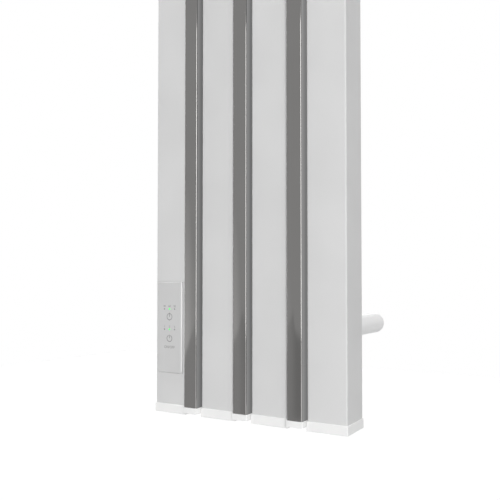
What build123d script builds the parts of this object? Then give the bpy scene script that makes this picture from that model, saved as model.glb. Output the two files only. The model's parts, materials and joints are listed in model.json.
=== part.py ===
from build123d import *
import math
import os

# Electric heated towel rail: four wide vertical bars with three narrow polished strips between them,
# carried by two cross members on four telescopic standoffs.
# All sizes are in millimetres. X runs right along the wall, Y into the wall and Z up.
# The origin lies on the wall face, at the centre of the four wall fixings.

# The rail as a whole
rail_height = 1000.0        # over the end caps
bar_count = 4
wall_gap = 118.0            # wall face to the backs of the bars
standoff_height = 108.0     # standoff axis above the bottom of the metal, and below its top

# Bars and strips
bar_width = 50.0
bar_depth = 50.0
bar_wall = 1.5
bar_corner = 1.8            # outside corner radius
bar_crown = 0.4             # how far a bar's front face bows out in its middle
strip_width = 20.0
strip_gap = 3.0             # clear gap on each side of a strip
strip_proud = 8.0           # how far the strips stand out in front of the bars
strip_wall = 1.2
strip_corner = 1.5
strip_crown = 0.4           # as on the bars

# End caps
bar_cap_height = 11.5
strip_cap_height = 7.5
cap_lip = 1.0               # how far a cap stands out round its tube
cap_floor = 2.5
cap_plug_depth = 12.0
cap_plug_wall = 1.6
cap_fit = 0.15              # plug to tube, each side
cap_corner = 1.0            # corner radius of a cap's upright edges
cap_edge = 0.5              # rounding of its bottom edges

# Cross members, open channels with their webs on the bars' backs
member_depth = 12.0
member_wall = 2.0
member_inset = 10.0         # from the outer side of the outer bars
member_room = 0.75          # standoff sleeve to each flange

# Standoffs: a sleeve on the rail slides over a stub on the wall
sleeve_diameter = 26.5
sleeve_wall = 3.0
sleeve_floor = 5.0
sleeve_setback = 0.5        # sleeve end to the wall face at rest
sleeve_edge = 0.6
slide_clearance = 0.05      # radial, sleeve on stub
stub_length = 55.0
stub_floor = 8.0            # what the wall screw's head bears on
stub_edge = 0.8
wall_screw_hole = 6.5
wall_screw_head = 13.0      # counterbore for the wall screw's head
grub_diameter = 5.0
grub_key = 2.5
grub_key_depth = 1.5
grub_inset = 22.0           # grub screw axis to the wall face
grub_gap = 0.1              # grub point to stub, and grub rim below the sleeve's skin

# Fasteners
fastener_clearance = 0.1    # radial, thread in its nut and insert in its hole
hole_clearance = 0.25       # radial, screw in a through hole
small_screw = 5.0
small_screw_length = 12.0
small_screw_head = 9.5
small_screw_head_height = 3.0
small_screw_key = 3.0
small_screw_key_depth = 1.6
small_screw_spread = 30.0   # between the two screws that hold an inner bar
small_insert = 7.0
small_insert_bulge = 9.6
small_insert_length = 12.0
big_screw = 8.0
big_screw_length = 20.0
big_screw_head = 13.0
big_screw_head_height = 8.0
big_screw_key = 6.0
big_screw_key_depth = 4.0
screw_edge = 0.6            # rounding of a screw head's rim
big_insert = 11.0
big_insert_bulge = 14.0
big_insert_length = 16.0
insert_bulge_height = 3.5

# Control module, let into the front of the first bar
panel_width = 41.5
panel_height = 123.0
panel_base = 42.0           # above the bottom of the metal
panel_bevel_width = 1.5     # bevel all round, seen from the front
panel_bevel_depth = 1.2
panel_face_corner = 1.0     # corner radius of the flat face inside the bevel
fascia_thickness = 2.5
fascia_overlap = 4.0        # fascia beyond the cut-out, each side
fascia_rim_depth = 3.5
fascia_rim_wall = 1.2
flange_thickness = 0.6
flange_setback = 0.5        # flange inside the fascia's outline
housing_fit = 0.3           # housing to cut-out, each side
housing_wall = 1.6
housing_past_core = 5.0     # housing floor behind the bar's middle plane
rim_fit = 0.2               # rim in housing, each side

# What the front shows
led_pitch = 8.6
led_hole = 2.4
led_clearance = 0.05
upper_led_height = 24.6     # above the panel's centre
lower_led_height = -2.8
timer_key_height = 14.5     # touch keys, above and below the panel's centre
power_key_height = -15.0
key_pad_diameter = 10.0

# Boards
board_thickness = 1.6
board_fit = 0.5             # board in housing, each side
led_size = 2.0
led_height = 0.8
led_gap = 0.2               # LED to its light guide
board_spacing = 6.2         # between the two boards
post_diameter = 5.0
post_inset = 3.2            # post axis from the board's edges
board_screw = 2.5
board_screw_head = 4.5
board_screw_head_height = 1.6
board_screw_bite = 5.0      # length in the housing's post
board_hole_spare = 1.0      # post's hole beyond the screw's end
relay_size = (20.0, 11.0, 10.0)
transformer_size = (22.0, 11.0, 22.0)
capacitor_diameter = 8.0
capacitor_length = 11.0
part_gap = 3.0              # between neighbours on the power board
connector_size = (16.0, 5.0)
terminal_height = 12.0
terminal_room = 0.8         # terminal block to housing floor
terminal_inset = 3.0        # terminal block to the housing's end wall
terminal_well = 3.6
terminal_well_depth = 4.0
post_gap = 0.5              # posts to the terminal blocks and to the wiring slots

# Heating elements, one hairpin in each bar
element_diameter = 6.5
element_spacing = 22.0      # between the two legs
element_base = 60.0         # terminal end above the bottom of the metal, in the plain bars
element_above_module = 12.0
element_top_gap = 45.0
element_end_size = (34.0, 14.0, 16.0)
element_end_edge = 2.0
holder_count = 3
holder_thickness = 2.0
holder_fit = 0.3
holder_end_room = 60.0      # end holders to the ends of the legs
holder_insert_room = 10.0   # end holders to the standoff inserts

# Wiring
conduit_height = 25.0       # above the bottom of the metal
conduit_diameter = 10.0
conduit_wall = 1.2
conduit_reach = 4.0         # beyond each bar's inner face
conduit_fit = 0.1
loom_diameter = 5.0
loom_bend = 11.0
loom_offset = 5.0           # right of the first bar's middle
thin_lead = 1.8
sensor_bend = 5.0
sensor_offset = 5.0
earth_lead_bend = 2.0
earth_lead_gap = 1.0        # earth lead to the loom it passes behind

# Mains lead inlet in the back of the first bar
gland_height = 31.0         # above the bottom of the metal
gland_offset = 5.0          # left of the first bar's middle
gland_bore = 7.5
gland_thread = 15.0
gland_across_flats = 18.0
gland_hex = 5.0
gland_inside = 9.0          # thread inside the bar
gland_outside = 8.0         # spigot under the cap nut
gland_spigot = 12.0
gland_cap_end = 3.0
gland_dome = 17.0
gland_dome_edge = 2.4
gland_locknut_height = 3.0
mains_bend = 7.0
earth_offset = 15.0         # right of the first bar's middle
earth_height = 36.0
earth_stud_diameter = 4.0
earth_stud_length = 9.0
earth_nut_flats = 7.0
earth_nut_height = 3.2

# Sensors on the back wall of the first bar
cutout_size = (8.0, 5.0, 20.0)
cutout_above_element = 34.0
sensor_size = (6.0, 4.0, 10.0)
sensor_above_element = 24.0

# A corner with a smaller radius than this is drawn square, and a face with a smaller crown is drawn flat
smallest_corner = 0.05
smallest_crown = 0.01

# Worked out from the sizes above
bar_pitch = bar_width + strip_width + 2 * strip_gap
metal_top = rail_height / 2 - bar_cap_height
metal_bottom = -metal_top
bars_back = -wall_gap
bars_front = bars_back - bar_depth
core_y = bars_front + bar_depth / 2
strip_depth = bar_depth + strip_proud
strip_y = bars_back - strip_depth / 2
standoff_z = metal_top - standoff_height
member_height = sleeve_diameter + 2 * (member_wall + member_room)
sleeve_bore = sleeve_diameter - 2 * sleeve_wall
stub_diameter = sleeve_bore - 2 * slide_clearance
panel_z = metal_bottom + panel_base + panel_height / 2
fascia_back = bars_front - flange_thickness
fascia_front = fascia_back - fascia_thickness
cutout_width = panel_width - 2 * fascia_overlap
cutout_height = panel_height - 2 * fascia_overlap
housing_width = cutout_width - 2 * housing_fit
housing_height = cutout_height - 2 * housing_fit
housing_inner_width = housing_width - 2 * housing_wall
housing_inner_height = housing_height - 2 * housing_wall
housing_back = core_y + housing_past_core
housing_floor = housing_back - housing_wall
touch_board_front = fascia_back + fascia_rim_depth + led_height + led_gap
power_board_front = touch_board_front + board_thickness + board_spacing
power_board_back = power_board_front + board_thickness
board_width = housing_inner_width - 2 * board_fit
board_height = housing_inner_height - 2 * board_fit
terminal_back = housing_floor - terminal_room
lower_terminal_z = panel_z - housing_inner_height / 2 + terminal_inset
upper_terminal_z = panel_z + housing_inner_height / 2 - terminal_inset - terminal_height
conduit_z = metal_bottom + conduit_height
gland_z = metal_bottom + gland_height
earth_z = metal_bottom + earth_height
element_bend_z = metal_top - element_top_gap - (element_diameter + element_spacing) / 2


# Places of the pieces that repeat

def bar_x(index):
    return (index - (bar_count - 1) / 2) * bar_pitch


def strip_x(index):
    return bar_x(index) + bar_pitch / 2


def element_start(index):
    if index == 0:
        return metal_bottom + panel_base + panel_height + element_above_module
    return metal_bottom + element_base


first_bar_x = bar_x(0)
last_bar_x = bar_x(bar_count - 1)
gland_x = first_bar_x - gland_offset
earth_x = first_bar_x + earth_offset
inner_bars = range(1, bar_count - 1)
standoff_places = {
    "lower_left": (first_bar_x, -standoff_z),
    "lower_right": (last_bar_x, -standoff_z),
    "upper_left": (first_bar_x, standoff_z),
    "upper_right": (last_bar_x, standoff_z),
}
inner_screw_xs = [bar_x(i) + side * small_screw_spread / 2 for i in inner_bars for side in (-1, 1)]
small_screw_xs = inner_screw_xs + [strip_x(i) for i in range(bar_count - 1)]
led_xs = [first_bar_x + step * led_pitch for step in (-1, 0, 1)]
led_zs = [panel_z + upper_led_height, panel_z + lower_led_height]
post_x = board_width / 2 - post_inset
post_z = board_height / 2 - post_inset
between_posts = 2 * (post_x - post_diameter / 2 - post_gap)
post_places = [(first_bar_x + sx * post_x, panel_z + sz * post_z) for sx in (-1, 1) for sz in (-1, 1)]


# Plain shapes

def block(x, y, z):
    # A box from its low and high ends along each axis.
    middle = [(ends[0] + ends[1]) / 2 for ends in (x, y, z)]
    return Pos(*middle) * Box(x[1] - x[0], y[1] - y[0], z[1] - z[0])


def centred_block(x, width, y, z, height):
    return block((x - width / 2, x + width / 2), y, (z - height / 2, z + height / 2))


def cylinder_x(x, y, z, diameter):
    return Pos((x[0] + x[1]) / 2, y, z) * Rot(0, 90, 0) * Cylinder(diameter / 2, x[1] - x[0])


def cylinder_y(x, y, z, diameter):
    return Pos(x, (y[0] + y[1]) / 2, z) * Rot(90, 0, 0) * Cylinder(diameter / 2, y[1] - y[0])


def cylinder_z(x, y, z, diameter):
    return Pos(x, y, (z[0] + z[1]) / 2) * Cylinder(diameter / 2, z[1] - z[0])


def hexagon_y(x, y, z, across_flats):
    corner = across_flats / math.sqrt(3)
    prism = extrude(RegularPolygon(corner, 6), y[1] - y[0])
    return Pos(x, y[1], z) * Rot(90, 0, 0) * prism


def rounded_prism(width, depth, height, corner, crown=0.0):
    # An upright prism on z = 0, centred in x and y. Its front side bows out by the crown.
    half, front, back = width / 2, -depth / 2, depth / 2
    outline = Rectangle(width, depth)
    if crown > smallest_crown:
        left, right = (-half, front + crown), (half, front + crown)
        bow = ThreePointArc(left, (0, front), right)
        outline = make_face([bow, Polyline(right, (half, back), (-half, back), left)])
    if corner > smallest_corner:
        outline = fillet(outline.vertices(), corner)
    return extrude(outline, height)


def wire(points, diameter, bend):
    path = FilletPolyline(*points, radius=bend)
    return sweep(Plane(path @ 0, z_dir=path % 0) * Circle(diameter / 2), path=path)


def group(solids):
    return Compound(children=list(solids))


# Bars and strips

def tube(width, depth, wall, corner, crown=0.0):
    length = metal_top - metal_bottom
    outer = rounded_prism(width, depth, length, corner, crown)
    inner = rounded_prism(width - 2 * wall, depth - 2 * wall, length, corner - wall, crown)
    return outer - inner


def conduit_hole(index):
    # The way from one bar through the strip to the next bar.
    middles = (bar_x(index), bar_x(index + 1))
    return cylinder_x(middles, core_y, conduit_z, conduit_diameter + 2 * conduit_fit)


def back_hole(x, z, wall, diameter):
    return cylinder_y(x, (bars_back - 1.5 * wall, bars_back + wall), z, diameter)


def bar(index):
    x = bar_x(index)
    shape = Pos(x, core_y, metal_bottom) * tube(bar_width, bar_depth, bar_wall, bar_corner, bar_crown)
    if index > 0:
        shape -= conduit_hole(index - 1)
    if index < bar_count - 1:
        shape -= conduit_hole(index)
    for z in (-standoff_z, standoff_z):
        if index in inner_bars:
            for side in (-1, 1):
                screw_x = x + side * small_screw_spread / 2
                shape -= back_hole(screw_x, z, bar_wall, small_insert + 2 * fastener_clearance)
        else:
            shape -= back_hole(x, z, bar_wall, big_insert + 2 * fastener_clearance)
    if index == 0:
        front = (bars_front - bar_wall, bars_front + 1.5 * bar_wall)
        shape -= centred_block(x, cutout_width, front, panel_z, cutout_height)
        shape -= back_hole(x - gland_offset, gland_z, bar_wall, gland_thread + 2 * fastener_clearance)
    return shape


def strip(index):
    x = strip_x(index)
    profile = tube(strip_width, strip_depth, strip_wall, strip_corner, strip_crown)
    shape = Pos(x, strip_y, metal_bottom) * profile
    shape -= conduit_hole(index)
    for z in (-standoff_z, standoff_z):
        shape -= back_hole(x, z, strip_wall, small_insert + 2 * fastener_clearance)
    return shape


# End caps, drawn for the bottom end with the tube's end at z = 0

def end_cap(width, depth, wall, corner, height, crown=0.0):
    head = rounded_prism(width + 2 * cap_lip, depth + 2 * cap_lip, height, cap_corner, crown)
    head = fillet(head.faces().sort_by(Axis.Z)[0].edges(), cap_edge)
    plug_width = width - 2 * (wall + cap_fit)
    plug_depth = depth - 2 * (wall + cap_fit)
    plug_corner = corner - wall
    plug = rounded_prism(plug_width, plug_depth, cap_plug_depth, plug_corner, crown)
    hollow_size = (plug_width - 2 * cap_plug_wall, plug_depth - 2 * cap_plug_wall)
    hollow = rounded_prism(*hollow_size, height - cap_floor + cap_plug_depth, plug_corner, crown)
    return Pos(0, 0, -height) * head + plug - Pos(0, 0, cap_floor - height) * hollow


def placed_cap(shape, x, y, end):
    if end == "bottom":
        return Pos(x, y, metal_bottom) * shape
    return Pos(x, y, metal_top) * Rot(0, 180, 0) * shape


# Cross members and what holds the tubes on them

def cross_member(z):
    length = last_bar_x - first_bar_x + bar_width - 2 * member_inset
    shape = centred_block(0, length, (bars_back, bars_back + member_depth), z, member_height)
    channel = (bars_back + member_wall, bars_back + 2 * member_depth)
    shape -= centred_block(0, length, channel, z, member_height - 2 * member_wall)
    web = (bars_back - member_wall, bars_back + 2 * member_wall)
    for x in small_screw_xs:
        shape -= cylinder_y(x, web, z, small_screw + 2 * hole_clearance)
    for x in (first_bar_x, last_bar_x):
        shape -= cylinder_y(x, web, z, big_screw + 2 * hole_clearance)
    return shape


def threaded_insert(x, z, wall, body, bulge, bore, length):
    # Flush in the tube's back wall, with its bulge drawn up against the wall's inner face.
    shape = cylinder_y(x, (bars_back - length, bars_back), z, body)
    shape += cylinder_y(x, (bars_back - wall - insert_bulge_height, bars_back - wall), z, bulge)
    through = (bars_back - 2 * length, bars_back + length)
    return shape - cylinder_y(x, through, z, bore + 2 * fastener_clearance)


def small_inserts():
    for z in (-standoff_z, standoff_z):
        for x in small_screw_xs:
            wall = bar_wall if x in inner_screw_xs else strip_wall
            yield threaded_insert(x, z, wall, small_insert, small_insert_bulge, small_screw,
                                  small_insert_length)


def big_inserts():
    for x, z in standoff_places.values():
        yield threaded_insert(x, z, bar_wall, big_insert, big_insert_bulge, big_screw, big_insert_length)


def cap_screw(x, z, seat, diameter, length, head, head_height, key, key_depth):
    # The head's underside is at the seat, and the shank runs towards the front.
    shape = cylinder_y(x, (seat - length, seat), z, diameter)
    top = cylinder_y(x, (seat, seat + head_height), z, head)
    shape += fillet(top.faces().sort_by(Axis.Y)[-1].edges(), screw_edge)
    socket = (seat + head_height - key_depth, seat + 2 * head_height)
    return shape - hexagon_y(x, socket, z, key)


def tube_screws():
    seat = bars_back + member_wall
    for z in (-standoff_z, standoff_z):
        for x in small_screw_xs:
            yield cap_screw(x, z, seat, small_screw, small_screw_length, small_screw_head,
                            small_screw_head_height, small_screw_key, small_screw_key_depth)


def standoff_screws():
    seat = bars_back + member_wall + sleeve_floor
    for x, z in standoff_places.values():
        yield cap_screw(x, z, seat, big_screw, big_screw_length, big_screw_head,
                        big_screw_head_height, big_screw_key, big_screw_key_depth)


# Standoffs

def sleeve(x, z):
    front = bars_back + member_wall
    shape = cylinder_y(x, (front, -sleeve_setback), z, sleeve_diameter)
    shape = fillet(shape.faces().sort_by(Axis.Y)[-1].edges(), sleeve_edge)
    shape -= cylinder_y(x, (front + sleeve_floor, wall_gap), z, sleeve_bore)
    through = (front - sleeve_floor, front + 2 * sleeve_floor)
    shape -= cylinder_y(x, through, z, big_screw + 2 * hole_clearance)
    below = (z - sleeve_diameter, z)
    return shape - cylinder_z(x, -grub_inset, below, grub_diameter + 2 * fastener_clearance)


def stub(x, z):
    shape = cylinder_y(x, (-stub_length, 0), z, stub_diameter)
    shape = chamfer(shape.faces().sort_by(Axis.Y)[0].edges(), stub_edge)
    shape -= cylinder_y(x, (-2 * stub_length, -stub_floor), z, wall_screw_head)
    return shape - cylinder_y(x, (-stub_length, stub_length), z, wall_screw_hole)


def grub_screws():
    for x, z in standoff_places.values():
        low = z - sleeve_diameter / 2 + grub_gap
        high = z - stub_diameter / 2 - grub_gap
        shape = cylinder_z(x, -grub_inset, (low, high), grub_diameter)
        socket = extrude(RegularPolygon(grub_key / math.sqrt(3), 6), grub_key_depth)
        yield shape - Pos(x, -grub_inset, low) * socket


# Control module

def control_fascia():
    plate = rounded_prism(panel_width, panel_height, fascia_thickness, panel_bevel_width + panel_face_corner)
    face = plate.faces().sort_by(Axis.Z)[-1]
    plate = chamfer(face.edges(), panel_bevel_width, panel_bevel_depth, reference=face)
    shape = Pos(first_bar_x, fascia_back, panel_z) * Rot(90, 0, 0) * plate
    rim = (fascia_back, fascia_back + fascia_rim_depth)
    rim_width = housing_inner_width - 2 * rim_fit
    rim_height = housing_inner_height - 2 * rim_fit
    shape += centred_block(first_bar_x, rim_width, rim, panel_z, rim_height)
    inside = (rim_width - 2 * fascia_rim_wall, rim_height - 2 * fascia_rim_wall)
    shape -= centred_block(first_bar_x, inside[0], (fascia_back, fascia_back + 2 * fascia_rim_depth),
                           panel_z, inside[1])
    for x in led_xs:
        for z in led_zs:
            shape -= cylinder_y(x, (fascia_front - led_hole, fascia_back + led_hole), z, led_hole)
    return shape


def light_guides(lit):
    # The middle guide of each row is lit.
    for z in led_zs:
        for place, x in enumerate(led_xs):
            if (place == 1) == lit:
                yield cylinder_y(x, (fascia_front, fascia_back + fascia_rim_depth), z,
                                 led_hole - 2 * led_clearance)


def leds():
    for x in led_xs:
        for z in led_zs:
            yield centred_block(x, led_size, (touch_board_front - led_height, touch_board_front), z, led_size)


def key_pads():
    for height in (timer_key_height, power_key_height):
        yield cylinder_y(first_bar_x, (fascia_back, touch_board_front), panel_z + height, key_pad_diameter)


def control_housing():
    flange = (fascia_back, bars_front)
    shape = centred_block(first_bar_x, panel_width - 2 * flange_setback, flange,
                          panel_z, panel_height - 2 * flange_setback)
    shape += centred_block(first_bar_x, housing_width, (fascia_back, housing_back), panel_z, housing_height)
    shape -= centred_block(first_bar_x, housing_inner_width, (fascia_back - housing_wall, housing_floor),
                           panel_z, housing_inner_height)
    for x, z in post_places:
        shape += cylinder_y(x, (power_board_back, housing_floor), z, post_diameter)
        hole_end = power_board_back + board_screw_bite + board_hole_spare
        shape -= cylinder_y(x, (fascia_front, hole_end), z, board_screw + 2 * fastener_clearance)
    # Slots in the two end walls let the wiring in and out at the bar's middle plane.
    slot = (power_board_back, housing_floor)
    slot_ends = housing_height + 2 * housing_wall
    return shape - centred_block(first_bar_x, between_posts, slot, panel_z, slot_ends)


def board(front):
    shape = centred_block(first_bar_x, board_width, (front, front + board_thickness), panel_z, board_height)
    through = (front - board_thickness, front + 2 * board_thickness)
    for x, z in post_places:
        shape -= cylinder_y(x, through, z, board_screw + 2 * hole_clearance)
    return shape


def board_spacers():
    between = (touch_board_front + board_thickness, power_board_front)
    for x, z in post_places:
        shape = cylinder_y(x, between, z, post_diameter)
        yield shape - cylinder_y(x, between, z, board_screw + 2 * hole_clearance)


def board_screws():
    shank = (touch_board_front, power_board_back + board_screw_bite)
    head = (touch_board_front - board_screw_head_height, touch_board_front)
    for x, z in post_places:
        yield cylinder_y(x, shank, z, board_screw) + cylinder_y(x, head, z, board_screw_head)


def board_connector():
    between = (touch_board_front + board_thickness, power_board_front)
    return centred_block(first_bar_x, connector_size[0], between, panel_z, connector_size[1])


def power_board_part(size, low_z):
    # A boxy part on the back of the power board: its width, its height off the board, its length in z.
    back = (power_board_back, power_board_back + size[1])
    return centred_block(first_bar_x, size[0], back, low_z + size[2] / 2, size[2])


relay_z = lower_terminal_z + terminal_height + part_gap
transformer_z = relay_z + relay_size[2] + part_gap
capacitor_z = transformer_z + transformer_size[2] + part_gap


def capacitor():
    middle = power_board_back + capacitor_diameter / 2
    return cylinder_z(first_bar_x, middle, (capacitor_z, capacitor_z + capacitor_length), capacitor_diameter)


def terminal_blocks():
    # One at each end of the power board, with three screw wells in the back of each.
    depth = (power_board_back, terminal_back)
    for low in (lower_terminal_z, upper_terminal_z):
        z = low + terminal_height / 2
        shape = centred_block(first_bar_x, between_posts, depth, z, terminal_height)
        for step in (-1, 0, 1):
            well = (terminal_back - terminal_well_depth, terminal_back + terminal_well_depth)
            shape -= cylinder_y(first_bar_x + step * between_posts / 3, well, z, terminal_well)
        yield shape


# Heating elements

def heating_element(index):
    x = bar_x(index)
    start = element_start(index) + element_end_size[2]
    bend = element_spacing / 2
    left_end = (x - bend, core_y, element_bend_z)
    right_end = (x + bend, core_y, element_bend_z)
    left = Line((x - bend, core_y, start), left_end)
    turn = ThreePointArc(left_end, (x, core_y, element_bend_z + bend), right_end)
    right = Line(right_end, (x + bend, core_y, start))
    path = Wire([left, turn, right])
    return sweep(Plane((x - bend, core_y, start), z_dir=(0, 0, 1)) * Circle(element_diameter / 2), path=path)


def element_ends():
    width, depth, height = element_end_size
    for index in range(bar_count):
        low = element_start(index)
        front_to_back = (core_y - depth / 2, core_y + depth / 2)
        shape = centred_block(bar_x(index), width, front_to_back, low + height / 2, height)
        yield chamfer(shape.edges().filter_by(Axis.Z), element_end_edge)


def element_holders():
    # The end holders stay clear of the legs' ends and of the standoff inserts.
    size = (bar_width - 2 * (bar_wall + holder_fit), bar_depth - 2 * (bar_wall + holder_fit))
    insert_end = standoff_z - big_insert_bulge / 2
    high = min(element_bend_z - holder_end_room, insert_end - holder_insert_room) - holder_thickness
    for index in range(bar_count):
        x = bar_x(index)
        leg_end = element_start(index) + element_end_size[2]
        low = max(leg_end + holder_end_room, holder_insert_room - insert_end)
        for step in range(holder_count):
            z = low + (high - low) * step / max(1, holder_count - 1)
            plate = Pos(x, core_y, z) * rounded_prism(*size, holder_thickness, bar_corner, bar_crown)
            for side in (-1, 1):
                leg = x + side * element_spacing / 2
                plate -= cylinder_z(leg, core_y, (z - holder_thickness, z + 2 * holder_thickness),
                                    element_diameter + 2 * fastener_clearance)
            yield plate


# Wiring

def wire_conduits():
    reach = bar_wall + conduit_reach
    for index in range(bar_count - 1):
        ends = (bar_x(index) + bar_width / 2 - reach, bar_x(index + 1) - bar_width / 2 + reach)
        shape = cylinder_x(ends, core_y, conduit_z, conduit_diameter)
        yield shape - cylinder_x(ends, core_y, conduit_z, conduit_diameter - 2 * conduit_wall)


def wiring_loom():
    # The first bar's element is fed from the top of the module, the others from below through the conduits.
    upper_end = upper_terminal_z + terminal_height
    yield cylinder_z(first_bar_x, core_y, (upper_end, element_start(0)), loom_diameter)
    start = (first_bar_x + loom_offset, core_y, lower_terminal_z)
    corner = (first_bar_x + loom_offset, core_y, conduit_z)
    last_corner = (last_bar_x, core_y, conduit_z)
    end = (last_bar_x, core_y, element_start(bar_count - 1))
    shape = wire([start, corner, last_corner, end], loom_diameter, loom_bend)
    for index in inner_bars:
        shape += cylinder_z(bar_x(index), core_y, (conduit_z, element_start(index)), loom_diameter)
    yield shape


def mains_wires():
    inner_end = bars_back - bar_wall - gland_inside
    points = [(gland_x, inner_end, gland_z), (gland_x, core_y, gland_z), (gland_x, core_y, lower_terminal_z)]
    yield wire(points, loom_diameter, mains_bend)
    # The earth lead runs from the stud's end behind the loom, and up between the other wires.
    behind_loom = core_y + (loom_diameter + thin_lead) / 2 + earth_lead_gap
    stud_end = bars_back - bar_wall - earth_stud_length
    points = [(earth_x, stud_end, earth_z), (earth_x, behind_loom, earth_z),
              (first_bar_x, behind_loom, earth_z), (first_bar_x, core_y, earth_z),
              (first_bar_x, core_y, lower_terminal_z)]
    yield wire(points, thin_lead, earth_lead_bend)


def sensor_leads():
    top = upper_terminal_z + terminal_height
    turn_z = element_start(0) - element_above_module / 2
    for side, piece, low in ((-1, cutout_size, cutout_above_element), (1, sensor_size, sensor_above_element)):
        x = first_bar_x + side * sensor_offset
        lead_y = bars_back - bar_wall - piece[1] / 2
        points = [(x, lead_y, element_start(0) + low), (x, lead_y, turn_z),
                  (x, core_y, turn_z), (x, core_y, top)]
        yield wire(points, thin_lead, sensor_bend)


def wall_sensor(size, above, side):
    low = element_start(0) + above
    return centred_block(first_bar_x + side * sensor_offset, size[0],
                         (bars_back - bar_wall - size[1], bars_back - bar_wall), low + size[2] / 2, size[2])


# Mains lead inlet

def cable_gland():
    inner_end = bars_back - bar_wall - gland_inside
    outer_end = bars_back + gland_hex + gland_outside
    shape = cylinder_y(gland_x, (inner_end, bars_back), gland_z, gland_thread)
    shape += hexagon_y(gland_x, (bars_back, bars_back + gland_hex), gland_z, gland_across_flats)
    shape += cylinder_y(gland_x, (bars_back, outer_end), gland_z, gland_spigot)
    return shape - cylinder_y(gland_x, (inner_end, outer_end), gland_z, gland_bore)


def gland_cap_nut():
    seat = bars_back + gland_hex
    end = seat + gland_outside + gland_cap_end
    shape = hexagon_y(gland_x, (seat, seat + gland_outside), gland_z, gland_across_flats)
    dome = cylinder_y(gland_x, (seat, end), gland_z, gland_dome)
    shape += fillet(dome.faces().sort_by(Axis.Y)[-1].edges(), gland_dome_edge)
    shape -= cylinder_y(gland_x, (seat, seat + gland_outside), gland_z, gland_spigot + 2 * fastener_clearance)
    return shape - cylinder_y(gland_x, (seat, end), gland_z, gland_bore)


def gland_locknut():
    inner = bars_back - bar_wall
    ends = (inner - gland_locknut_height, inner)
    shape = hexagon_y(gland_x, ends, gland_z, gland_across_flats)
    return shape - cylinder_y(gland_x, ends, gland_z, gland_thread + 2 * fastener_clearance)


def earth_stud():
    inner = bars_back - bar_wall
    shape = cylinder_y(earth_x, (inner - earth_stud_length, inner), earth_z, earth_stud_diameter)
    return shape + hexagon_y(earth_x, (inner - earth_nut_height, inner), earth_z, earth_nut_flats)


# Every piece under its own name

parts = {}
bar_cap = end_cap(bar_width, bar_depth, bar_wall, bar_corner, bar_cap_height, bar_crown)
strip_cap = end_cap(strip_width, strip_depth, strip_wall, strip_corner, strip_cap_height, strip_crown)
for i in range(bar_count):
    parts[f"bar_{i + 1}"] = bar(i)
    parts[f"heating_element_{i + 1}"] = heating_element(i)
    parts[f"bar_cap_bottom_{i + 1}"] = placed_cap(bar_cap, bar_x(i), core_y, "bottom")
for i in range(bar_count - 1):
    parts[f"strip_{i + 1}"] = strip(i)
    parts[f"strip_cap_bottom_{i + 1}"] = placed_cap(strip_cap, strip_x(i), strip_y, "bottom")
parts["bar_caps_top"] = group(placed_cap(bar_cap, bar_x(i), core_y, "top") for i in range(bar_count))
parts["strip_caps_top"] = group(
    placed_cap(strip_cap, strip_x(i), strip_y, "top") for i in range(bar_count - 1))
parts["cross_member_lower"] = cross_member(-standoff_z)
parts["cross_member_upper"] = cross_member(standoff_z)
parts["tube_inserts"] = group(small_inserts())
parts["standoff_inserts"] = group(big_inserts())
parts["tube_screws"] = group(tube_screws())
parts["standoff_screws"] = group(standoff_screws())
for name, (x, z) in standoff_places.items():
    parts[f"standoff_sleeve_{name}"] = sleeve(x, z)
parts["wall_stubs"] = group(stub(x, z) for x, z in standoff_places.values())
parts["grub_screws"] = group(grub_screws())
parts["control_fascia"] = control_fascia()
parts["control_housing"] = control_housing()
parts["light_guides_lit"] = group(light_guides(True))
parts["light_guides_dark"] = group(light_guides(False))
parts["leds"] = group(leds())
parts["key_pads"] = group(key_pads())
parts["touch_board"] = board(touch_board_front)
parts["power_board"] = board(power_board_front)
parts["board_spacers"] = group(board_spacers())
parts["board_screws"] = group(board_screws())
parts["board_connector"] = board_connector()
parts["relay"] = power_board_part(relay_size, relay_z)
parts["transformer"] = power_board_part(transformer_size, transformer_z)
parts["capacitor"] = capacitor()
parts["terminal_blocks"] = group(terminal_blocks())
parts["element_ends"] = group(element_ends())
parts["element_holders"] = group(element_holders())
parts["wire_conduits"] = group(wire_conduits())
parts["wiring_loom"] = group(wiring_loom())
parts["mains_wires"] = group(mains_wires())
parts["sensor_leads"] = group(sensor_leads())
parts["thermal_cutout"] = wall_sensor(cutout_size, cutout_above_element, -1)
parts["temperature_sensor"] = wall_sensor(sensor_size, sensor_above_element, 1)
parts["cable_gland"] = cable_gland()
parts["gland_cap_nut"] = gland_cap_nut()
parts["gland_locknut"] = gland_locknut()
parts["earth_stud"] = earth_stud()

os.makedirs("parts", exist_ok=True)
for name, shape in parts.items():
    export_step(shape, f"parts/{name}.step")
print(len(parts), "sub-parts written")
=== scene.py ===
import json
import math

import bmesh
import bpy
from mathutils import Matrix, Vector


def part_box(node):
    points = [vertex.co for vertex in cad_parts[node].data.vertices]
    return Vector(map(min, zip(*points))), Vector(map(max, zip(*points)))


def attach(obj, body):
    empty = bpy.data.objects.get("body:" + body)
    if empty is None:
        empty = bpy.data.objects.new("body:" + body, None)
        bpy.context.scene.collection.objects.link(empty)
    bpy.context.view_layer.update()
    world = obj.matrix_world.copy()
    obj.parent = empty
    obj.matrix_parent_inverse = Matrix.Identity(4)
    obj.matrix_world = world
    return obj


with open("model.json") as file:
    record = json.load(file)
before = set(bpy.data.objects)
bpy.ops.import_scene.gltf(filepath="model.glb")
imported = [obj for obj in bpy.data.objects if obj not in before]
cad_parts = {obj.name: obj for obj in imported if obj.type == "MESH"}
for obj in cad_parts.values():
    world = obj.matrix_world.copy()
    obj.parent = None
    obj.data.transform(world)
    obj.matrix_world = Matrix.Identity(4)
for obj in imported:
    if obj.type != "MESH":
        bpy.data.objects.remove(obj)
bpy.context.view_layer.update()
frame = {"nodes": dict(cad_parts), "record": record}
nodes = frame["nodes"]
mm = 0.001
white = (1, 1, 1, 1)
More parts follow.
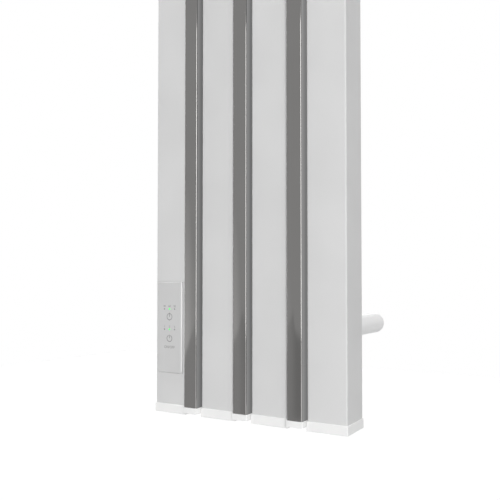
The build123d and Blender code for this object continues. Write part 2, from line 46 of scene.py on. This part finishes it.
black = (0, 0, 0, 1)
print("frame loaded:", len(nodes), "CAD nodes")


# Small helpers for materials

def linear(hexColour):
    # sRGB hex to the linear values that a shader takes
    channels = [int(hexColour[i:i + 2], 16) / 255 for i in (1, 3, 5)]
    return [c / 12.92 if c <= 0.04045 else ((c + 0.055) / 1.055) ** 2.4 for c in channels] + [1.0]


def addNode(tree, kind, inputs=None, **settings):
    # one node: its settings, then its inputs, each a value or the socket that feeds it
    node = tree.nodes.new(kind)
    for name, value in settings.items():
        setattr(node, name, value)
    for name, value in (inputs or {}).items():
        if isinstance(value, bpy.types.NodeSocket):
            tree.links.new(value, node.inputs[name])
        else:
            node.inputs[name].default_value = value
    return node


def newMaterial(name, shaderInputs):
    # a material with its shader, and the socket that gives the object's own coordinates in metres
    material = bpy.data.materials.new(name)
    material.use_nodes = True
    tree = material.node_tree
    shader = tree.nodes["Principled BSDF"]
    for socket, value in shaderInputs.items():
        shader.inputs[socket].default_value = value
    place = addNode(tree, "ShaderNodeTexCoord").outputs["Object"]
    return material, tree, shader, place


def perMetre(sizeMm):
    # the scale that makes one feature of a noise or cell pattern this many millimetres wide
    return 1 / (sizeMm * mm)


def addTone(tree, shader, driver, dark, light, low=0.35, high=0.65):
    # the base colour drifts between two close tones
    ramp = addNode(tree, "ShaderNodeValToRGB", {"Fac": driver})
    stops = ramp.color_ramp.elements
    stops[0].position, stops[0].color = low, linear(dark)
    stops[1].position, stops[1].color = high, linear(light)
    tree.links.new(ramp.outputs["Color"], shader.inputs["Base Color"])


def addRoughness(tree, shader, driver, middle, spread):
    # the roughness wanders to either side of its middle value
    wander = addNode(tree, "ShaderNodeMapRange", {
        "Value": driver, "To Min": middle - spread, "To Max": middle + spread})
    tree.links.new(wander.outputs["Result"], shader.inputs["Roughness"])


def addBump(tree, shader, height, depthMm):
    bump = addNode(tree, "ShaderNodeBump", {"Height": height, "Distance": depthMm * mm})
    tree.links.new(bump.outputs["Normal"], shader.inputs["Normal"])


# Finishes by what the real surface is

powder = {
    "sheen": 0.2,           # specular level
    "peelDetail": 2.0,
    "peelContrast": 0.45,
    "cloudMm": 90,          # slow drift of the tone along a tube
    "spread": 0.05,         # of the roughness
}


def powderCoat(name, dark, light, peelMm, peelDepthMm, roughness):
    # Polyester powder baked on steel: a soft even white with a faint orange peel and a satin sheen
    material, tree, shader, place = newMaterial(name, {
        "IOR": 1.5, "Specular IOR Level": powder["sheen"]})
    peel = addNode(tree, "ShaderNodeTexNoise", {
        "Vector": place, "Scale": perMetre(peelMm), "Detail": powder["peelDetail"],
        "Roughness": powder["peelContrast"]})
    cloud = addNode(tree, "ShaderNodeTexNoise", {
        "Vector": place, "Scale": perMetre(powder["cloudMm"]), "Detail": 1.0})
    addTone(tree, shader, cloud.outputs["Fac"], dark, light)
    addRoughness(tree, shader, peel.outputs["Fac"], roughness, powder["spread"])
    addBump(tree, shader, peel.outputs["Fac"], peelDepthMm)
    return material


moulding = {
    "grainDetail": 3.0,
    "grainContrast": 0.6,
    "flowMm": 35,           # slow drift of the tone, as the melt flowed
    "spread": 0.06,         # of the roughness
}


def mouldedPlastic(name, dark, light, grainMm, grainDepthMm, roughness, **shaderInputs):
    # Injection moulded: a spark-eroded tool leaves a fine even grain, which keeps the gloss low
    material, tree, shader, place = newMaterial(name, {"IOR": 1.5, **shaderInputs})
    grain = addNode(tree, "ShaderNodeTexNoise", {
        "Vector": place, "Scale": perMetre(grainMm), "Detail": moulding["grainDetail"],
        "Roughness": moulding["grainContrast"]})
    flow = addNode(tree, "ShaderNodeTexNoise", {
        "Vector": place, "Scale": perMetre(moulding["flowMm"]), "Detail": 1.0})
    addTone(tree, shader, flow.outputs["Fac"], dark, light)
    addRoughness(tree, shader, grain.outputs["Fac"], roughness, moulding["spread"])
    addBump(tree, shader, grain.outputs["Fac"], grainDepthMm)
    return material


metalwork = {
    "lineDetail": 3.0,
    "lineContrast": 0.6,
    "spread": 0.06,         # of the roughness
}


def workedMetal(name, dark, light, lineMm, lineDepthMm, roughness, stretch, toneMm=12):
    # Drawn, turned, brushed or plated metal: fine lines run along the way it was worked
    material, tree, shader, place = newMaterial(name, {"Metallic": 1.0})
    along = addNode(tree, "ShaderNodeMapping", {
        "Vector": place, "Scale": stretch}).outputs["Vector"]
    lines = addNode(tree, "ShaderNodeTexNoise", {
        "Vector": along, "Scale": perMetre(lineMm), "Detail": metalwork["lineDetail"],
        "Roughness": metalwork["lineContrast"]})
    tone = addNode(tree, "ShaderNodeTexNoise", {
        "Vector": place, "Scale": perMetre(toneMm), "Detail": 3.0})
    addTone(tree, shader, tone.outputs["Fac"], dark, light)
    addRoughness(tree, shader, lines.outputs["Fac"], roughness, metalwork["spread"])
    addBump(tree, shader, lines.outputs["Fac"], lineDepthMm)
    return material


stripPolish = {
    "front": "#7A7978",
    "edge": "#868686",      # painted highlight: the side is lighter just behind the corner
    "inner": "#646464",     # painted shade: the side darkens down into the gap between the bars
    "toneDepths": (-0.1752, -0.1642),   # Y in metres where the tones start and end
    "toneStops": (0.05, 0.10, 1.0),     # where each tone is full, as a share of that depth
    "lineMm": 0.8,          # polishing lines, drawn coarser than the real ones so that they show
    "lineDepthMm": 0.002,
    "lineStretch": (1, 1, 0.02),        # they run up the strip
    "hazeMm": 60,           # slow change of the plate's thickness
    "hazeTone": (0.96, 1.04),
    "roughness": 0.07,
    "spread": 0.02,
}


def polishedStrip(name):
    # Mirror-polished steel under a dark nickel plate: it shows the room, but darker, with faint
    # upright polishing lines. Its side has a painted highlight just behind the corner and painted
    # shade down into the gap
    material, tree, shader, place = newMaterial(name, {"Metallic": 1.0})
    # tone by depth: the metal's own tone on the front, then painted highlight and painted shade
    # down the side
    depth = addNode(tree, "ShaderNodeSeparateXYZ", {"Vector": place}).outputs["Y"]
    start, end = stripPolish["toneDepths"]
    reach = addNode(tree, "ShaderNodeMapRange", {
        "Value": depth, "From Min": start, "From Max": end})
    plateAndPaintedShade = addNode(tree, "ShaderNodeValToRGB", {"Fac": reach.outputs["Result"]})
    frontStop, litEdgeStop, shadedInnerStop = stripPolish["toneStops"]
    stops = plateAndPaintedShade.color_ramp.elements
    stops[0].position, stops[0].color = frontStop, linear(stripPolish["front"])
    stops[1].position, stops[1].color = shadedInnerStop, linear(stripPolish["inner"])
    stops.new(litEdgeStop).color = linear(stripPolish["edge"])
    upright = addNode(tree, "ShaderNodeMapping", {
        "Vector": place, "Scale": stripPolish["lineStretch"]}).outputs["Vector"]
    lines = addNode(tree, "ShaderNodeTexNoise", {
        "Vector": upright, "Scale": perMetre(stripPolish["lineMm"]), "Detail": 3.0})
    haze = addNode(tree, "ShaderNodeTexNoise", {
        "Vector": place, "Scale": perMetre(stripPolish["hazeMm"]), "Detail": 2.0})
    darker, lighter = stripPolish["hazeTone"]
    cast = addNode(tree, "ShaderNodeMapRange", {
        "Value": haze.outputs["Fac"], "To Min": darker, "To Max": lighter})
    tint = addNode(tree, "ShaderNodeVectorMath", {
        0: plateAndPaintedShade.outputs["Color"], 1: cast.outputs["Result"]}, operation="MULTIPLY")
    tree.links.new(tint.outputs["Vector"], shader.inputs["Base Color"])
    addRoughness(tree, shader, lines.outputs["Fac"], stripPolish["roughness"],
                 stripPolish["spread"])
    addBump(tree, shader, lines.outputs["Fac"], stripPolish["lineDepthMm"])
    return material


litMoulding = {
    "body": "#2EB84C",
    "glow": "#3CF060",
    "strength": 0.65,
    "roughness": 0.25,
    "coreMm": 0.6,          # the lamp behind it brightens patches of about this size
}


def litGuide(name):
    # Clear moulding with a lamp behind it: the green is nearly even over its face
    material, tree, shader, place = newMaterial(name, {
        "Roughness": litMoulding["roughness"], "Emission Strength": litMoulding["strength"],
        "Emission Color": linear(litMoulding["glow"])})
    core = addNode(tree, "ShaderNodeTexNoise", {
        "Vector": place, "Scale": perMetre(litMoulding["coreMm"]), "Detail": 1.0})
    addTone(tree, shader, core.outputs["Fac"], litMoulding["body"], litMoulding["glow"])
    return material


board = {
    "mask": "#0E4A2A",
    "track": "#1C6B3E",
    "trackMm": 3.0,
    "trackSpread": 0.6,     # how uneven their spacing is
    "trackEdge": 0.45,      # the step from mask to track is short
    "trackDepthMm": 0.03,
    "roughness": 0.35,
}


def boardLaminate(name):
    # Glass fibre board under green solder mask: copper tracks show as paler squared lines
    material, tree, shader, place = newMaterial(name, {
        "Roughness": board["roughness"], "IOR": 1.5})
    tracks = addNode(tree, "ShaderNodeTexVoronoi", {
        "Vector": place, "Scale": perMetre(board["trackMm"]),
        "Randomness": board["trackSpread"]}, distance="CHEBYCHEV", feature="F1")
    addTone(tree, shader, tracks.outputs["Distance"], board["mask"], board["track"],
            high=board["trackEdge"])
    addBump(tree, shader, tracks.outputs["Distance"], board["trackDepthMm"])
    return material


# For each: name, darker and lighter tone, pattern size and depth in mm, and roughness.
# Worked metals also have how the pattern is squeezed along X, Y and Z, and the size of their
# drift in tone.
finishes = {
    # the bars: grey-white and satin, nearly even from a step away
    "bar_enamel": powderCoat(
        "satin_powder_coat_grey_white", "#D3D3D3", "#D7D7D7", 2.2, 0.03, 0.65),
    # the cross members: the same powder, a little glossier
    "member_enamel": powderCoat(
        "satin_powder_coat_channel", "#D0D0D0", "#D6D6D6", 2.2, 0.04, 0.46),
    # the sleeves: a cleaner white than the bars
    "standoff_enamel": powderCoat(
        "satin_powder_coat_white", "#EEEEEE", "#F1F1F1", 2.0, 0.03, 0.55),
    "polished_strip": polishedStrip("mirror_polished_dark_nickel"),
    # the caps: nearly pure white and matt
    "end_cap_plastic": mouldedPlastic(
        "moulded_white_nylon_cap", "#EEEEEE", "#F1F1F0", 0.8, 0.02, 0.6,
        **{"Specular IOR Level": 0.25}),
    # the touch plate: a shade darker than the bars, and smoother
    "fascia_plastic": mouldedPlastic(
        "moulded_satin_grey_abs", "#C6C6C6", "#C9C9C9", 0.8, 0.008, 0.3),
    # the box behind it: dark grey with a visible grain
    "housing_plastic": mouldedPlastic(
        "moulded_dark_abs_housing", "#4A4A4C", "#505052", 1.0, 0.03, 0.55),
    "light_guide_green": litGuide("clear_acrylic_lit_green"),
    # unlit guides: smoky grey dots with some gloss
    "light_guide_dark": mouldedPlastic(
        "smoked_acrylic_unlit", "#8C8A8B", "#969495", 0.5, 0.004, 0.3),
    # lamp bodies: glossy white with a warm cast
    "led_body": mouldedPlastic(
        "white_led_reflector", "#E6E6DE", "#F0F0EA", 0.5, 0.01, 0.3),
    # key pads: dull black sponge with open pores
    "key_foam": mouldedPlastic(
        "conductive_black_foam", "#1C1C1D", "#2A2A2C", 0.7, 0.15, 0.85),
    "board_laminate": boardLaminate("green_glass_fibre_board"),
    # spacers: cream, and a little light passes into them
    "nylon": mouldedPlastic(
        "natural_nylon_spacer", "#D8D5CB", "#E2DFD6", 0.6, 0.02, 0.45,
        **{"Subsurface Weight": 0.15, "Subsurface Scale": 0.002}),
    # relay, connector and cut-out: black with a soft sheen
    "black_plastic": mouldedPlastic(
        "moulded_black_pbt", "#141415", "#1E1E20", 0.7, 0.02, 0.45),
    # transformer: yellow tape, slightly wrinkled
    "transformer_core": mouldedPlastic(
        "yellow_tape_on_ferrite", "#B99A22", "#D2B336", 1.5, 0.04, 0.4),
    # capacitor: glossy dark blue sleeve
    "capacitor_can": mouldedPlastic(
        "dark_blue_shrink_sleeve", "#161C30", "#202944", 1.2, 0.02, 0.25),
    # terminals: plain green, matt
    "terminal_plastic": mouldedPlastic(
        "moulded_green_polyamide", "#1F6A38", "#277A43", 0.8, 0.03, 0.5),
    # element ends: rubbery red-brown
    "element_moulding": mouldedPlastic(
        "red_brown_silicone_moulding", "#6E2014", "#7E2A1B", 1.2, 0.05, 0.6),
    # conduits: off-white with an oily sheen
    "conduit_plastic": mouldedPlastic(
        "extruded_white_polypropylene", "#DCDCDA", "#E4E4E2", 1.0, 0.02, 0.4),
    # wires: soft off-white rubber
    "wire_silicone": mouldedPlastic(
        "white_silicone_insulation", "#D6D6CF", "#E2E2DA", 1.0, 0.03, 0.5),
    # temperature sensor: a wet-looking black bead
    "sensor_epoxy": mouldedPlastic(
        "black_epoxy_bead", "#17171A", "#222227", 2.0, 0.05, 0.2),
    # cable gland: white with a fine grain
    "gland_nylon": mouldedPlastic(
        "moulded_white_polyamide_gland", "#E2E2E0", "#EAEAE8", 0.8, 0.03, 0.45),
    # heating elements: straw-coloured by heat, with drawing lines along the tube
    "element_sheath": workedMetal(
        "drawn_stainless_heat_tinted", "#8A7C66", "#A39C90", 0.5, 0.01, 0.34, (1, 1, 0.04)),
    # wall stubs: bright, with turning rings
    "stub_aluminium": workedMetal(
        "turned_aluminium", "#C6C9CC", "#D6D9DB", 0.4, 0.01, 0.3, (0.05, 1, 0.05)),
    # inserts and small screws: bright with a bluish cast
    "zinc_steel": workedMetal(
        "bright_zinc_plate_on_steel", "#B4B9C2", "#CBCED2", 0.7, 0.01, 0.28, (1, 1, 1), 3),
    # grub screws and the large screws: near black with a dull sheen
    "black_steel": workedMetal(
        "black_oxide_on_steel", "#1E1E20", "#2B2B2E", 0.7, 0.015, 0.42, (1, 1, 1), 3),
    # earth stud: warm yellow with turning rings
    "brass": workedMetal(
        "machined_brass", "#B7893D", "#D0A655", 0.5, 0.01, 0.25, (0.1, 1, 0.1), 4),
    # element holders: pale grey sheet with rolling lines
    "holder_aluminium": workedMetal(
        "pressed_aluminium_sheet", "#BFC1C3", "#CED0D2", 0.6, 0.01, 0.35, (1, 0.1, 1), 8),
}

for row in frame["record"]["subparts"]:
    node = nodes[row["node"]]
    for slot in node.material_slots:
        slot.material = finishes[row["material_slot"]]
    # the strips' mirror shows the studio, and not the dark 3 mm gaps beside them
    node.visible_glossy = row["material_slot"] == "polished_strip"
print("finishes:", len(finishes))


# Printing on the touch panel

# sizes in mm, heights from the panel's middle
panelPrint = {
    "thickness": 0.03,      # of the ink
    "stroke": 0.8,
    "iconRadius": 4.2,
    "degreesPerFace": 6,    # how finely the rings are divided
    "timerHeight": 14.2,
    "handOvershoot": 0.5,   # of the clock's hand past its centre
    "stemLength": 1.0,      # above the clock's ring, and half of it below
    "powerHeight": -15.0,
    "powerGap": 42,         # degrees left open at the top of the power symbol
    "powerStroke": (0.62, 1.1),     # middle and length of its upright, as shares of its radius
    "guideRadius": 1.15,    # of the light guides, whose rows the numbers follow
    "upperLabels": ("30", "60", "90"),
    "lowerLabels": ("1", "2", "3"),
    "labelSize": 3.9,
    "labelRise": 3.7,       # above the row of lights
    "words": "ON/OFF",
    "wordsSize": 5.0,
    "wordsHeight": -26.7,
    "letterSteps": 3,       # how finely the letters' curves are divided
    "ink": ("#7A7A7A", "#828282"),
    "inkGrainMm": 0.4,
    "inkGrainDepthMm": 0.004,
    "inkRoughness": 0.55,
}

panelLow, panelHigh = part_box("control_fascia")
panelX = (panelLow.x + panelHigh.x) / 2
panelZ = (panelLow.z + panelHigh.z) / 2
panelFront = panelLow.y


def placeOnPanel(height, x=0.0):
    # from a flat drawing in XY, in mm, to the panel's face
    turn = Matrix.Rotation(math.radians(90), 4, "X")
    shift = Matrix.Translation((panelX + x * mm, panelFront, panelZ + height * mm))
    return shift @ turn @ Matrix.Scale(mm, 4)


def addArc(bm, radius, start, end, stroke, thickness):
    # a flat ring or arc with square edges: a small section spun about the centre
    inner, outer = radius - stroke / 2, radius + stroke / 2
    corners = ((inner, 0), (outer, 0), (outer, thickness), (inner, thickness))
    section = [bm.verts.new((r, 0, z)) for r, z in corners]
    edges = [bm.edges.new((section[i - 1], section[i])) for i in range(len(section))]
    turn = Matrix.Rotation(math.radians(start), 4, "Z")
    bmesh.ops.transform(bm, matrix=turn, verts=section)
    sweep = end - start
    closed = sweep >= 360
    bmesh.ops.spin(bm, geom=[*section, *edges], axis=(0, 0, 1), cent=(0, 0, 0),
                   angle=math.radians(sweep), steps=int(sweep / panelPrint["degreesPerFace"]),
                   use_merge=closed)
    if not closed:
        bmesh.ops.holes_fill(bm, edges=bm.edges, sides=4)   # the arc's two ends


def addBar(bm, x, y, width, height, thickness):
    made = bmesh.ops.create_cube(bm, size=1.0)
    size = Matrix.Diagonal((width, height, thickness, 1))
    place = Matrix.Translation((x, y, thickness / 2)) @ size
    bmesh.ops.transform(bm, matrix=place, verts=made["verts"])


def addText(bm, words, size, matrix):
    # text becomes a mesh first, and only then goes to its place
    curve = bpy.data.curves.new("words", "FONT")
    curve.body = words
    curve.size = size
    curve.align_x = "CENTER"
    curve.align_y = "CENTER"
    curve.extrude = panelPrint["thickness"] / 2
    curve.resolution_u = panelPrint["letterSteps"]
    holder = bpy.data.objects.new("words", curve)
    mesh = bpy.data.meshes.new_from_object(holder)
    mesh.transform(Matrix.Translation((0, 0, panelPrint["thickness"] / 2)))
    mesh.transform(matrix)
    bm.from_mesh(mesh)
    bpy.data.objects.remove(holder)
    bpy.data.curves.remove(curve)
    bpy.data.meshes.remove(mesh)


def printedPiece(bm, name, material):
    # a piece of printing that rides on the rail
    bmesh.ops.recalc_face_normals(bm, faces=bm.faces)
    mesh = bpy.data.meshes.new(name)
    bm.to_mesh(mesh)
    bm.free()
    mesh.materials.append(material)
    piece = bpy.data.objects.new(name, mesh)
    bpy.context.scene.collection.objects.link(piece)
    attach(piece, "rail")


# screen-printed ink: flat mid grey, matt, with a fine grain
ink = mouldedPlastic("screen_printed_grey_ink", *panelPrint["ink"], panelPrint["inkGrainMm"],
                     panelPrint["inkGrainDepthMm"], panelPrint["inkRoughness"])
stroke, thickness = panelPrint["stroke"], panelPrint["thickness"]
radius = panelPrint["iconRadius"]

# clock symbol: a ring with one hand, a stem above and a short foot below
bm = bmesh.new()
addArc(bm, radius, 0, 360, stroke, thickness)
overshoot, stem = panelPrint["handOvershoot"], panelPrint["stemLength"]
foot = stem / 2
addBar(bm, 0, (radius - overshoot) / 2, stroke, radius + overshoot, thickness)
addBar(bm, 0, radius + (stroke + stem) / 2, stroke, stem, thickness)
addBar(bm, 0, -radius - (stroke + foot) / 2, stroke, foot, thickness)
bmesh.ops.transform(bm, matrix=placeOnPanel(panelPrint["timerHeight"]), verts=bm.verts)
printedPiece(bm, "timer_symbol", ink)

# power symbol: a ring open at the top, with an upright stroke in the gap
bm = bmesh.new()
halfGap = panelPrint["powerGap"] / 2
middle, length = panelPrint["powerStroke"]
addArc(bm, radius, 90 + halfGap, 450 - halfGap, stroke, thickness)
addBar(bm, 0, radius * middle, stroke, radius * length, thickness)
bmesh.ops.transform(bm, matrix=placeOnPanel(panelPrint["powerHeight"]), verts=bm.verts)
printedPiece(bm, "power_symbol", ink)

# plain numbers over the two rows of lights
guideLow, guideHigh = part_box("light_guides_dark")
guideRadius = panelPrint["guideRadius"] * mm
columns = (guideLow.x + guideRadius - panelX, 0, guideHigh.x - guideRadius - panelX)
rows = (guideHigh.z - guideRadius - panelZ, guideLow.z + guideRadius - panelZ)
bm = bmesh.new()
for rowZ, labels in zip(rows, (panelPrint["upperLabels"], panelPrint["lowerLabels"])):
    for columnX, label in zip(columns, labels):
        place = placeOnPanel(rowZ / mm + panelPrint["labelRise"], columnX / mm)
        addText(bm, label, panelPrint["labelSize"], place)
printedPiece(bm, "printed_numbers", ink)

# the words under the power symbol
bm = bmesh.new()
place = placeOnPanel(panelPrint["wordsHeight"])
addText(bm, panelPrint["words"], panelPrint["wordsSize"], place)
printedPiece(bm, "printed_on_off", ink)
print("panel printing done")


# Floor, light and background: metres, and degrees from the rail's normal, plus to its right

keyAzimuth = 33.5       # the side that the tall softbox lights
darkAzimuth = -29.2     # the side that the strips' fronts mirror

studio = {
    "floorZ": -1.15,        # the rail hangs on a wall, clear of the floor
    "floorSize": 10.0,
    "floorColour": "#C4C4C4",
    "floorRoughness": 0.9,
    "floorSheen": 0.1,      # specular level
    "floorGlow": 0.51,      # what the camera sees on top of the floor's own light
    "ambient": 0.22,        # how strongly the white surroundings light the rail
    "boxDistance": 5.0,     # softbox at the right, seen in the polished strips' corners
    "boxHeight": 0.70,
    "boxSize": (1.43, 3.0),
    "boxRadiance": 12.4,
}

# Wide soft light from overhead, and a fill on the sides that the photograph doesn't show
suns = {
    "overhead": {"strength": 0.45, "azimuth": keyAzimuth, "elevation": 80, "angle": 18},
    "back_fill": {"strength": 0.60, "azimuth": 215, "elevation": 15, "angle": 50},
}

# Upright cards that only reflections see. The outline runs along the card and up. The glow
# passes from its first value to its second over this reach of distances from the centre.
cards = {
    "far_gable": {          # dark roof shape low in the strips' fronts
        "azimuth": darkAzimuth, "distance": 10.0,
        "outline": ((0.34, -0.76), (0.80, -1.07), (1.15, -1.15), (1.6, -1.23), (2.4, -1.39),
                    (3.7, -1.7), (3.7, -4.0), (-3.8, -4.0), (-3.8, -2.2), (-2.73, -1.74),
                    (-1.95, -1.42), (-0.75, -1.12)),
        "centre": (-9.243, -6.290, -1.2), "reach": (4.4, 6.1), "glow": (0.93, 0.65),
    },
    "near_bank": {          # carries the dark shape on down to the strips' feet
        "azimuth": darkAzimuth, "distance": 3.0,
        "outline": ((0.9, -0.75), (1.5, -0.95), (1.5, -1.14), (-1.5, -1.14), (-1.5, -1.1),
                    (-0.9, -0.78), (-0.85, -0.75)),
        "centre": (-2.77, -1.89, -0.9), "reach": (1.4, 1.95), "glow": (0.93, 0.65),
    },
    "bright_patch": {       # brighter around the dark shape, mostly on the first strip
        "azimuth": -48.0, "distance": 11.0,
        "outline": ((4.6, 2.3), (4.6, -6.0), (-4.6, -6.0), (-4.6, 2.3)),
        "centre": (-8.175, -7.360, -1.98), "reach": (0, 4.0), "glow": (1.9, 1.0),
    },
    "low_reflector": {      # carries the bright line on the corners down, evenly lit
        "azimuth": keyAzimuth, "distance": 2.5,
        "outline": ((0.3575, -0.605), (0.3575, -1.14), (-0.3575, -1.14), (-0.3575, -0.605)),
        "centre": (0, 0, 0), "reach": (0, 9), "glow": (5.5, 5.5),
    },
}


def seenRays(tree):
    # 1 for the rays that show the surroundings, and 0 for those that light the rail
    light = addNode(tree, "ShaderNodeLightPath")
    total = light.outputs["Is Camera Ray"]
    for kind in ("Is Glossy Ray", "Is Transmission Ray"):
        total = addNode(tree, "ShaderNodeMath", {
            0: total, 1: light.outputs[kind]}, operation="MAXIMUM").outputs[0]
    return total


def makeWorld():
    # plain white to the camera and in reflections, dimmer as a light
    world = bpy.data.worlds.new("white_studio")
    bpy.context.scene.world = world
    world.use_nodes = True
    tree = world.node_tree
    seen = seenRays(tree)
    dim = tree.nodes["Background"]
    dim.inputs["Strength"].default_value = studio["ambient"]
    dim.inputs["Color"].default_value = white
    bright = addNode(tree, "ShaderNodeBackground", {"Color": white, "Strength": 1.0})
    mixed = addNode(tree, "ShaderNodeMixShader", {
        0: seen, 1: dim.outputs[0], 2: bright.outputs[0]})
    tree.links.new(mixed.outputs[0], tree.nodes["World Output"].inputs["Surface"])


def stagePiece(bm, name, material):
    mesh = bpy.data.meshes.new(name)
    bm.to_mesh(mesh)
    bm.free()
    mesh.materials.append(material)
    piece = bpy.data.objects.new(name, mesh)
    bpy.context.scene.collection.objects.link(piece)
    return piece


def makeFloor():
    # Matt pale floor: it keeps the rail's shadow, and its own glow brings it up to white
    material, tree, shader, _ = newMaterial("matt_pale_floor", {
        "Base Color": linear(studio["floorColour"]), "Roughness": studio["floorRoughness"],
        "Specular IOR Level": studio["floorSheen"], "Emission Color": white})
    glow = addNode(tree, "ShaderNodeMath", {
        0: seenRays(tree), 1: studio["floorGlow"]}, operation="MULTIPLY")
    tree.links.new(glow.outputs[0], shader.inputs["Emission Strength"])
    bm = bmesh.new()
    bmesh.ops.create_grid(bm, x_segments=1, y_segments=1, size=studio["floorSize"] / 2)
    bmesh.ops.translate(bm, verts=bm.verts, vec=(0, 0, studio["floorZ"]))
    stagePiece(bm, "floor", material)


def makeLights():
    box = bpy.data.lights.new("softbox", "AREA")
    box.shape = "RECTANGLE"
    box.size, box.size_y = studio["boxSize"]
    box.energy = studio["boxRadiance"] * math.pi * box.size * box.size_y
    boxObject = bpy.data.objects.new("softbox", box)
    bpy.context.scene.collection.objects.link(boxObject)
    turn = math.radians(keyAzimuth)
    distance = studio["boxDistance"]
    boxObject.location = (distance * math.sin(turn), -distance * math.cos(turn),
                          studio["boxHeight"])
    boxObject.rotation_euler = (math.radians(90), 0, turn)

    for name, sun in suns.items():
        lamp = bpy.data.lights.new(name, "SUN")
        lamp.energy = sun["strength"] * math.pi     # a strength of 1 shows white as white
        lamp.angle = math.radians(sun["angle"])
        lampObject = bpy.data.objects.new(name, lamp)
        bpy.context.scene.collection.objects.link(lampObject)
        lampObject.rotation_euler = (
            math.radians(90 - sun["elevation"]), 0, math.radians(sun["azimuth"]))


def makeCard(name, card):
    # Unlit card with its own glow: black, so that no lamp changes its tone
    material, tree, shader, place = newMaterial(name, {
        "Base Color": black, "Roughness": 1.0, "Specular IOR Level": 0.0,
        "Emission Color": white})
    away = addNode(tree, "ShaderNodeVectorMath", {
        0: place, 1: card["centre"]}, operation="DISTANCE")
    near, far = card["reach"]
    first, second = card["glow"]
    glow = addNode(tree, "ShaderNodeMapRange", {
        "Value": away.outputs["Value"], "From Min": near, "From Max": far,
        "To Min": first, "To Max": second})
    tree.links.new(glow.outputs["Result"], shader.inputs["Emission Strength"])

    turn = math.radians(card["azimuth"])
    middle = Vector((math.sin(turn), -math.cos(turn), 0)) * card["distance"]
    along = Vector((math.cos(turn), math.sin(turn), 0))
    bm = bmesh.new()
    bm.faces.new([bm.verts.new(middle + along * x + Vector((0, 0, z)))
                  for x, z in card["outline"]])
    piece = stagePiece(bm, name, material)
    piece.visible_camera = False
    piece.visible_diffuse = False
    piece.visible_transmission = False
    piece.visible_shadow = False


makeWorld()
makeFloor()
makeLights()
for name, card in cards.items():
    makeCard(name, card)
bpy.context.scene.view_settings.view_transform = "Standard"


# Camera at the photograph's place, in mm

cameraSettings = {
    "lens": 42.719,
    "sensorWidth": 36,
    "azimuth": 30.898,      # stands to the right of the rail's normal
    "pitch": 1.5,
    "place": (391.26, -803.76, -332.08),
    "shiftY": 0.0450,
    "clip": (0.01, 60),     # metres
}

camera = bpy.data.cameras.new("camera")
camera.sensor_width = cameraSettings["sensorWidth"]
camera.lens = cameraSettings["lens"]
camera.shift_y = cameraSettings["shiftY"]
camera.clip_start, camera.clip_end = cameraSettings["clip"]
cameraObject = bpy.data.objects.new("camera", camera)
bpy.context.scene.collection.objects.link(cameraObject)
cameraObject.location = Vector(cameraSettings["place"]) * mm
cameraObject.rotation_euler = (
    math.radians(90 + cameraSettings["pitch"]), 0, math.radians(cameraSettings["azimuth"]))
bpy.context.scene.camera = cameraObject
print("studio and camera done")
